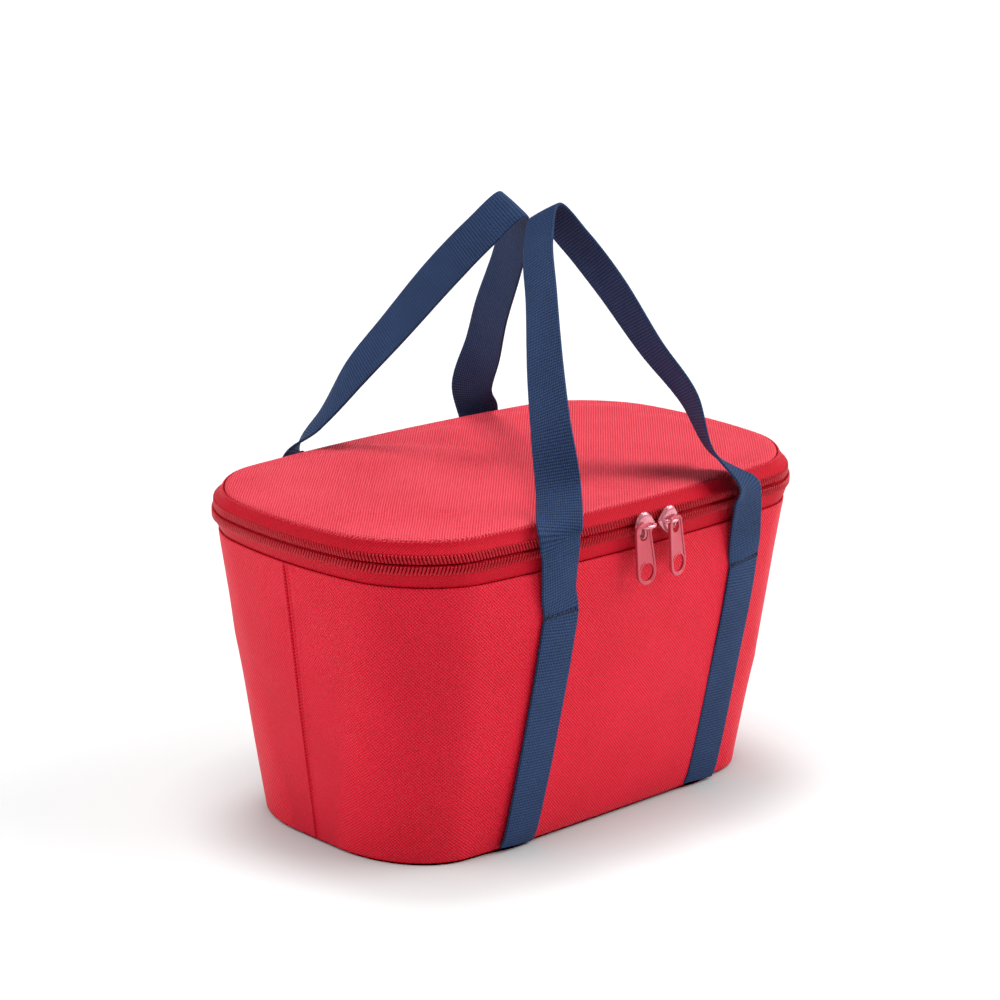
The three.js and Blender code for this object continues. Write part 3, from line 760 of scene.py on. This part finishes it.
def unit(v):
    v = np.asarray(v, float)
    return v / np.linalg.norm(v, axis=-1, keepdims=True)


def frame_at(s, inset, z):
    """Point on the shell with the directions along the bag, outward and up."""
    station = station_at(s)
    along = unit(shell(station + 0.02, inset, z) - shell(station - 0.02, inset, z))
    up = np.array([0.0, 0.0, 1.0])
    return shell(station, inset, z), along, np.cross(along, up), up


COIL_PITCH = 1.6
TOOTH_SLANT = math.radians(20)


def zip_coil(name, foot, lean, shift, body, node):
    """A row of coil: one slanted tooth after another, standing on the tape."""
    centre = foot + ROW / 2
    tooth = capsule(ROW + 0.9, 0.64, 0.95, sides=10, rings=8)
    places = []
    for s in np.arange(ZIP_START + 2 + shift * COIL_PITCH, ZIP_END - 2, COIL_PITCH):
        origin, along, out, up = frame_at(s, COIL_DEPTH / 2 - 0.1, centre)
        z = unit(up * math.cos(TOOTH_SLANT) + along * lean * math.sin(TOOTH_SLANT))
        places.append((origin, unit(np.cross(out, z)), out, z))
    return finish_piece(scatter(name, tooth, places), "zip_coil", body, node)


def cloth_hinge():
    """Plain cloth across the back where the zip stops, where the lid hinges."""
    points = [(1.6, BODY_TOP - 0.9), (1.0, BODY_TOP), (0.6, BODY_TOP + 0.8), (0.5, BODY_TOP + 3),
              (0.5, 138), (0.45, 141), (0.4, 142.5), (0.35, 144), (0.3, 145.5), (0.2, 147.5), (0.0, 149.5),
              (-0.4, LID_SEAM - 0.7), (-0.3, LID_SEAM + 0.3), (0.1, LID_SEAM + 0.4), (0.4, LID_SEAM - 0.3),
              (0.9, LID_SEAM - 1.5), (1.4, 148), (1.5, 146), (1.55, 144.5), (1.6, 143.2), (1.6, 142),
              (1.6, 140), (1.7, 137), (2.4, BODY_TOP)]
    s = np.linspace(HINGE_START + 1.0, HINGE_END - 1.0, 70)
    obj = finish_piece(sweep("lid_hinge_cloth", profile_of(points), s), "body_canvas", None,
                       "lid_hinge_lower", "lid_hinge_upper")
    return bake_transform(obj)


# -------- lid
def lid():
    s = np.arange(0, GIRTH, 2.2)

    def dome(drop):
        def height(s, share, ring):
            rise = 2.5 + 0.9 * (1 - share**2)
            return LID_SEAM - drop + rise + lid_rise(s, share)
        return height
    edge = [(0.9, LID_SEAM - 0.6), (0.55, LID_SEAM - 0.1), (0.4, LID_SEAM + 0.5), (0.6, LID_SEAM + 1.1),
            (1.2, LID_SEAM + 1.6), (2.4, LID_SEAM + 2.0), (4.6, LID_SEAM + 2.3), (8.0, LID_SEAM + 2.48)]
    rings = [(12, dome(CLOTH), share, LID_SEAM) for share in (MIDDLE, 0.3, 0.6, 0.85, 1)]
    rings += [(6, LID_SEAM + 1.1, 1, LID_SEAM), (3, LID_SEAM + 0.3, 1, LID_SEAM)]
    rings += [(inset, z, 1, LID_SEAM) for inset, z in edge]
    shares = np.concatenate([[1, 0.985, 0.965], np.linspace(0.94, 0.06, 26), [MIDDLE]])
    rings += [(12, dome(0), share, LID_SEAM) for share in shares]
    # The lid cloth wears a lighter, whiter copy of the wall cloth: painted sheen and painted light on the
    # top.
    obj = disc("lid_cloth", rings, s)
    return finish_piece(obj, "lid_cloth", "lid", "lid_panel")


def lid_lining():
    s = np.arange(0, GIRTH, 3.0)
    z = LID_SEAM - CLOTH - 0.3 - FOAM - 0.3

    def soft(drop):
        return lambda s, share, ring: z - drop - 0.3 * (1 - share) * \
            smooth_waves(ring[:, 0], ring[:, 1], 17, [50, 22], [1.2, 0.6])
    shares = (MIDDLE, 0.15, 0.3, 0.45, 0.6, 0.75, 0.88, 1)
    rings = [(8, soft(LINER), share, LID_SEAM) for share in shares]
    rings += [(5, z - LINER + 0.05, 1, LID_SEAM), (3.6, z - 0.75, 1, LID_SEAM), (3.3, z - 0.4, 1, LID_SEAM),
              (3.6, z - 0.1, 1, LID_SEAM)]
    rings += [(8, soft(0.0), share, LID_SEAM) for share in shares[::-1]]
    return finish_piece(disc("lid_lining", rings, s), "lining", "lid", "lid_liner")


# -------- webbing handles
def front_face(x, z):
    """Point on the front wall at (x, z), and the direction along the bag there."""
    stations = np.linspace(2 * QUARTER + END_STEPS, AROUND - END_STEPS, 400)
    xs, _ = plan(stations, z)
    station = np.interp(x, xs, stations)
    out = float(wall_out(arc_at(station), np.array(z)))
    point = shell(station, -out, z)
    side = shell(station + 0.05, -out, z) - shell(station - 0.05, -out, z)
    return point, unit(side)


def handle_track(rise):
    """Centre, width direction and outer normal along one front handle, from its left foot over the
    top to its right foot, with the distance along it."""
    ups = [2.2, 7, 14, 24, 38, 54, 70, 86, 100, 112]
    half = WEB_THICK / 2 + 0.15
    centres, widths = {}, {}
    for side in (-1, 1):
        line, across = [], []
        for z in ups:
            x = CENTRE["foot"] + (CENTRE["tack"] - CENTRE["foot"]) * z / TACK_Z + side * STRAP_HALF
            point, w = front_face(x, z)
            line.append(point + np.array([w[1], -w[0], 0]) * half)
            across.append(-side * w)

        def turned(degrees):
            angle = math.radians(degrees)
            lean = np.array([0, -math.cos(LEAN), math.sin(LEAN)])
            return -side * math.cos(angle) * np.array([1.0, 0, 0]) + math.sin(angle) * lean
        x0, x1 = CENTRE["tack"] + side * STRAP_HALF, CENTRE["rim"] + side * STRAP_HALF
        rim_turn = rise[0][3]
        leg = [(0.28, -84.8, 121, 0), (0.55, -87.0, 131.5, rim_turn / 6), (0.78, -89.0, 141, rim_turn / 2)]
        for share, y, z, turn in leg:
            line.append(np.array([x0 + (x1 - x0) * share, y, z]))
            across.append(turned(turn))
        for spread, y, z, turn in rise[:-1] if side > 0 else rise:
            x = CENTRE["rim"] + (CENTRE["apex"] - CENTRE["rim"]) * (1 - spread) + side * spread * STRAP_HALF
            line.append(np.array([x, -y, z]))
            across.append(turned(turn))
        centres[side], widths[side] = line, across
    points = np.array(centres[-1] + centres[1][::-1])
    wide = np.array(widths[-1] + widths[1][::-1])
    c = catmull(points, points)
    w = catmull(wide, points)
    t = unit(np.gradient(c, axis=0))
    w = unit(w - t * (w * t).sum(1, keepdims=True))
    return {"c": c, "w": w, "n": np.cross(w, t), "s": distances(c)}


def ribbon(name, track, start, end, mirror):
    """Webbing from start to end of a track: cross ribs, rounded selvedges, slightly dished."""
    s = np.linspace(start, end, max(2, round((end - start) / RIB * 4)) + 1)
    at = {k: np.stack([np.interp(s, track["s"], track[k][:, i]) for i in range(3)], -1) for k in "cwn"}
    share = np.array([-1, -0.985, -0.94, -0.87, -0.7, -0.5, -0.25, 0, 0.25, 0.5, 0.7, 0.87, 0.94, 0.985, 1])
    selvedge = np.clip((np.abs(share) - 0.86) / 0.08, 0, 1)
    thick = np.where(np.abs(share) > 0.99, 0.12, np.where(np.abs(share) > 0.96, 0.5, 0.62))
    rib = 0.08 * np.sin(2 * math.pi * s / RIB + math.pi / 2)[:, None] * (1 - 0.75 * selvedge)[None]
    h = thick[None] + rib * (np.abs(share) < 0.96)[None]
    dish = 0.3 * (1 - share**2)[None, :, None] * at["n"][:, None]
    flat = at["c"][:, None] + at["w"][:, None] * (share * WEB_WIDTH / 2)[None, :, None] + dish
    outer = flat + at["n"][:, None] * h[..., None]
    inner = (flat - at["n"][:, None] * h[..., None])[:, ::-1]
    rows = np.concatenate([outer, inner], axis=1)
    across = share * WEB_WIDTH / 2
    u = np.concatenate([across, across[::-1], across[:1]])
    cloth = np.stack(np.meshgrid(u, s), -1)
    if mirror:
        rows = rows * np.array([1, -1, 1])
    return skin(name, rows, cloth)


def handles():
    cut_z = 131.0       # each length is parted half way up its free leg, where both parts ride alike
    for side in ("front", "back"):
        track = handle_track(RISE[side])
        z = track["c"][:, 2]
        middle = len(z) // 2
        cuts = [np.interp(cut_z, z[:middle], track["s"][:middle]),
                np.interp(-cut_z, -z[middle:], track["s"][middle:])]
        mirror = side == "back"
        spans = {"left": (0, cuts[0]), "right": (cuts[1], track["s"][-1])}
        for hand, (start, end) in spans.items():
            obj = ribbon(f"webbing_{side}_{hand}", track, start, end, mirror)
            finish_piece(obj, "webbing", None, f"strap_run_{side}_{hand}", f"strap_leg_{side}_{hand}")
            fold_at_tack(obj)
        loop = ribbon("handle_" + side, track, *cuts, mirror)
        finish_piece(loop, "webbing", None, "handle_loop_" + side)
        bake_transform(loop)
        tack_threads(track, side, mirror)


def fold_at_tack(obj):
    """Bakes a piece's placement into its mesh; it does not bend it."""
    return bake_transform(obj)


def tack_threads(track, side, mirror):
    """Rows of close stitches across the webbing where it is sewn to the wall."""
    z, middle = track["c"][:, 2], len(track["c"]) // 2
    stitch = capsule(2.3, 0.3, 0.3, sides=6, rings=4)
    places = []
    for half in (slice(0, middle), slice(middle, None)):
        order = np.argsort(z[half])
        s0 = np.interp(TACK_Z, z[half][order], track["s"][half][order])
        c, w, n = (np.array([np.interp(s0, track["s"], track[k][:, i]) for i in range(3)]) for k in "cwn")
        t = np.cross(n, w)
        for i, x in enumerate(np.arange(-9.1, 9.3, 1.3)):
            lean = unit(t + w * (0.55 if i % 2 else -0.55))
            origin = c + w * x + n * 0.95 + t * (0.25 if i % 2 else -0.25)
            places.append((origin, unit(np.cross(n, lean)), n, lean))
    if mirror:
        flip = np.array([1, -1, 1])
        places = [tuple(v * flip for v in place) for place in places]
    threads = finish_piece(scatter("tack_thread_" + side, stitch, places), "navy_thread", None)
    return fold_at_tack(threads)


# -------- stitching on the cloth
def end_seam_threads():
    """Sunk stitches beside the two end seams, on the front cloth."""
    stitch = capsule(2.3, 0.26, 0.2, sides=6, rings=4)
    places = []
    for seam, direction in ((GIRTH, -1), (GIRTH / 2, 1)):
        s = seam + direction * 2.6
        for z in np.arange(6, 130, 3.0):
            out = float(wall_out(np.array(s), np.array(z))) - 0.42
            origin, _, normal, _ = frame_at(s, -out, z)
            higher, *_ = frame_at(s, -float(wall_out(np.array(s), np.array(z + 1))) + 0.42, z + 1)
            up = unit(higher - origin)
            places.append((origin, unit(np.cross(normal, up)), normal, up))
    return finish_piece(scatter("end_seam_thread", stitch, places), "thread", "bag")


def lid_seam_threads():
    """Slanting stitches that bind the rolled edge of the band to the lid cloth. The stitches are real;
    their pale colour is a painted highlight along the rolled edge.
    """
    stitch = capsule(1.4, 0.15, 0.12, sides=6, rings=4)
    places = []
    for s in np.arange(ZIP_START, ZIP_END, 1.9):
        origin, along, normal, up = frame_at(s, -0.72, LID_SEAM)
        out = unit(normal + up)
        slant = unit(along * 0.8 + (up - normal) * 0.55)
        places.append((origin + up * 0.66, unit(np.cross(out, slant)), out, slant))
    return finish_piece(scatter("lid_seam_thread", stitch, places), "thread_with_painted_highlight", "lid")


# -------- zip sliders and pulls
def evaluated_mesh(obj):
    return bpy.data.meshes.new_from_object(obj.evaluated_get(bpy.context.evaluated_depsgraph_get()))


def shield():
    """Outline of the slider's face: broad round tail at -x, shoulders, and a nose at +x."""
    t = full_turn(48)
    x = 6.0 * np.cos(t)
    y = 5.0 * np.sin(t) * (1 - 0.33 * np.cos(t) - 0.22 * np.cos(2 * t))
    return np.stack([x - 0.2, y], -1)


def slider(hand):
    """Slider: domed shield face, side flanges, neck, back plate and a bridge for the pull."""
    nose = 1 if hand == "left" else -1
    x0 = SLIDERS[hand]
    face = -COIL_FACE - 0.5
    front = [(0.2, face), (0.86, face), (0.97, face - 0.15), (1, face - 0.5), (1, face - 0.95),
             (0.96, face - 1.3), (0.86, face - 1.62), (0.66, face - 1.85), (0.4, face - 1.95),
             (0.12, face - 2.0)]
    back = [(0.3, -80.4), (0.95, -80.35), (1, -80.6), (1, -81.0), (0.95, -81.25), (0.3, -81.3)]

    def lens(name, rings, length, height):
        """Plate in the shape of the shield, over rings [(size, y)]."""
        rows = [[(x0 + nose * x * k * length, y, ZIP_CENTRE + z * k * height) for x, z in shield()]
                for k, y in rings]
        return skin(name, np.array(rows))
    parts = [lens("slider_face", front, 1, 1), lens("slider_back", back, 0.78, 0.34)]
    place = (x0, -84.4, ZIP_CENTRE), (1, 0, 0), (0, 0, 1), (0, -1, 0)
    parts.append(scatter("slider_neck", capsule(8.0, 0.7, 0.2), [place]))
    bend = np.linspace(0, math.pi, 15)
    spine = np.stack([x0 - nose * 3.6 * np.cos(bend), BAR_Y + 2.6 - 2.6 * np.sin(bend) ** 0.55,
                      ZIP_CENTRE + 0 * bend], -1)
    parts.append(tube("slider_bridge", spine, 0.85, 0.75))
    return join_parts("zip_slider_body_" + hand, parts)


def tube(name, spine, wide, thick, sides=12):
    """Closed rod along a spine in a plane of constant z: wide along z, thick in the plane."""
    t = unit(np.gradient(spine, axis=0))
    up = np.array([0.0, 0.0, 1.0])
    side = unit(np.cross(t, up))
    turn = full_turn(sides)
    rows = spine[:, None] + wide * np.sin(turn)[None, :, None] * up \
        + thick * np.cos(turn)[None, :, None] * side[:, None]
    return skin(name, rows)


def join_parts(name, parts):
    """Unites overlapping closed parts into one skin."""
    base = parts[0]
    for part in parts[1:]:
        union = base.modifiers.new("union", "BOOLEAN")
        set_values(union, operation="UNION", object=part, solver="EXACT")
        mesh = evaluated_mesh(base)
        base.modifiers.clear()
        base.data = mesh
        shade_smooth(mesh)
        bpy.data.objects.remove(part)
    base.name = name
    base.data.name = name
    return base


# How each pull hangs: tilt and turn in degrees, and shift along the bag from its slider in mm.
HANG = {"left": (8.3, 0.0, -5.0), "right": (9.0, 10.0, 1.4)}
PULL = {"drop": 25.8, "top": 4.5, "bottom": 5.7, "hole": 4.1, "rim": 0.95, "thick": 1.5}


def pull_outline(shrink, count=14):
    """Outline of a pull about its eye, drawn in by shrink: round foot and rounded shoulders."""
    top, bottom = PULL["top"] - shrink, PULL["bottom"] - shrink
    centre = -PULL["drop"] + PULL["bottom"]
    foot = [(bottom * math.cos(a), centre + bottom * math.sin(a))
            for a in np.linspace(math.pi, 2 * math.pi, 2 * count)]
    corner = 2.6 - 0.4 * shrink
    high = 2.2 - shrink
    right = [(top - corner + corner * math.cos(a), high - corner + corner * math.sin(a))
             for a in np.linspace(0, math.pi / 2, count)]
    left = [(-x, z) for x, z in right[::-1]]
    return foot + right + left


def oval(x, z, rx, rz):
    return [(x + rx * math.cos(a), z + rz * math.sin(a)) for a in full_turn(28)]


def cut_plate(name, outlines, half, bevel):
    """Flat plate in x and z with holes, its edges rounded: the first outline is the outer one."""
    curve = bpy.data.curves.new(name, "CURVE")
    curve.dimensions, curve.fill_mode = "2D", "BOTH"
    curve.extrude, curve.bevel_depth, curve.bevel_resolution = half - bevel, bevel, 2
    curve.offset = -bevel
    for outline in outlines:
        spline = curve.splines.new("POLY")
        spline.points.add(len(outline) - 1)
        for point, (x, z) in zip(spline.points, outline):
            point.co = (x, z, 0, 1)
        spline.use_cyclic_u = True
    source = add_object(name, curve)
    mesh = evaluated_mesh(source)
    bpy.data.objects.remove(source)
    mend(mesh, merge=1e-3)
    return add_object(name, mesh)


def zip_pull(hand):
    """Flat pull: thin web, raised rim, a window that hangs on the bridge, and a round hole."""
    centre = -PULL["drop"] + PULL["bottom"]
    window = oval(0, -2.3, 2.5, 3.1)
    hole = oval(0, centre, PULL["hole"], PULL["hole"])
    ring = oval(0, centre, PULL["hole"] + 0.75, PULL["hole"] + 0.75)
    web = cut_plate("web", [pull_outline(0.3), window, hole], 0.4, 0.1)
    rim = cut_plate("rim", [pull_outline(0), pull_outline(PULL["rim"])], PULL["thick"] / 2, 0.22)
    eye = cut_plate("eye", [ring, hole], 0.62, 0.15)
    obj = join_parts("zip_pull_tab_" + hand, [web, rim, eye])
    tilt, turn, shift = HANG[hand]
    place = Quaternion((0, 0, 1), math.radians(turn)) @ Quaternion((0, 1, 0), math.radians(-tilt)) \
        @ Quaternion((1, 0, 0), math.radians(90))
    lift = Vector((SLIDERS[hand] + shift, BAR_Y + 0.6, ZIP_CENTRE - 0.4))
    for vertex in obj.data.vertices:
        vertex.co = (place @ vertex.co + lift) * MM
    shade_smooth(obj.data)
    obj.data.set_sharp_from_angle(angle=math.radians(40))
    return obj


def zip_hardware():
    for hand in SLIDERS:
        body = slider(hand)
        body.data.set_sharp_from_angle(angle=math.radians(45))
        # The slider's enamel carries painted highlights: pale blotches in its colour.
        finish_piece(body, "slider_enamel_painted_highlights", "slider_" + hand, "zip_slider_" + hand)
        finish_piece(zip_pull(hand), "enamel", "pull_" + hand, "zip_pull_" + hand)


# -------- studio
def aim(obj, target, azimuth, elevation, distance, roll=0.0):
    """Puts obj at a distance from target, seen from there in the given direction, looking back."""
    a, e = math.radians(azimuth), math.radians(elevation)
    back = Vector((math.sin(a) * math.cos(e), -math.cos(a) * math.cos(e), math.sin(e)))
    obj.location = target + back * distance
    obj.rotation_mode = "QUATERNION"
    obj.rotation_quaternion = (-back).to_track_quat("-Z", "Y") @ Quaternion((0, 0, 1), math.radians(roll))
    return obj


def camera():
    data = bpy.data.cameras.new("camera")
    data.lens, data.sensor_width = 108.76, 36
    target = Vector((7.66, 12.77, 131.85)) * MM
    bpy.context.scene.camera = aim(add_object("camera", data), target, azimuth=-43.47, elevation=15.66,
                                   distance=1.3986, roll=0.52)


def soft_light(name, azimuth, elevation, softness, strength):
    """A very large far softbox, seen from the bag in the given direction."""
    data = bpy.data.lights.new(name, "SUN")
    data.energy, data.angle = strength, math.radians(softness)
    aim(add_object(name, data), Vector(), azimuth, elevation, 2)


def backdrop(radius, height, sides=64):
    """Plain white wall far round the floor, for low views. It neither shades nor lights the bag."""
    turn = full_turn(sides)
    ring = np.stack([radius * np.cos(turn), radius * np.sin(turn), 0 * turn], -1)
    points = np.concatenate([ring, ring + np.array([0, 0, height])])
    faces = [(i, (i + 1) % sides, sides + (i + 1) % sides, sides + i) for i in range(sides)]
    mesh = plain_mesh("backdrop", points.tolist(), faces)
    wall = add_object("backdrop", mesh)
    wall.visible_shadow = wall.visible_diffuse = wall.visible_glossy = False
    g = Graph("backdrop")
    g.set(Base_Color=(0, 0, 0, 1), Specular_IOR_Level=0, Roughness=1)
    g.set(Emission_Color=(1, 1, 1, 1), Emission_Strength=1.0)
    mesh.materials.append(g.material)
    return wall


def pale_floor(half):
    """Pale floor that glows a little less where the bag shades it, so that it stays near white."""
    corners = [(-half, -half, 0), (half, -half, 0), (half, half, 0), (-half, half, 0)]
    mesh = plain_mesh("floor", corners, [(0, 1, 2, 3)])
    g = Graph("floor")
    g.set(Base_Color=(0.86, 0.9, 0.9, 1), Roughness=0.9, Specular_IOR_Level=0.1)
    shade = g.nodes.new("ShaderNodeAmbientOcclusion")
    shade.inputs["Distance"].default_value = 0.055
    glow = g.nodes.new("ShaderNodeEmission")
    g.feed(glow.inputs["Strength"], g.math("MULTIPLY_ADD", shade.outputs["AO"], 1.4, -0.26))
    blend = g.nodes.new("ShaderNodeMixShader")
    blend.inputs[0].default_value = 0.55
    g.feed(blend.inputs[1], glow.outputs[0])
    g.feed(blend.inputs[2], g.shader.outputs[0])
    g.feed(g.nodes["Material Output"].inputs["Surface"], blend.outputs[0])
    mesh.materials.append(g.material)
    return add_object("floor", mesh)


def studio():
    pale_floor(8.0)
    backdrop(7.9, 4.0)
    world = bpy.data.worlds.new("studio")
    world.use_nodes = True
    sky = world.node_tree.nodes["Background"]
    sky.inputs["Color"].default_value = (1, 1, 1, 1)
    sky.inputs["Strength"].default_value = 0.2
    bpy.context.scene.world = world
    bpy.context.scene.view_settings.view_transform = "Standard"
    soft_light("overhead", 150, 78, 16, 1.5)
    soft_light("left", -120, 30, 50, 1.5)
    soft_light("right", 50, 32, 50, 2.6)


camera()
for side in ("front", "back"):
    wall_panel(side)
base_cloth()
foam_layers()
lining()
zip_tape_lower()
zip_band_upper()
zip_coil("zip_teeth_low", LOW_FOOT, 1, 0.0, "bag", "zip_coil_lower")
zip_coil("zip_teeth_high", UP_FOOT, -1, 0.5, "lid", "zip_coil_upper")
cloth_hinge()
lid()
lid_lining()
handles()
end_seam_threads()
lid_seam_threads()
zip_hardware()
studio()
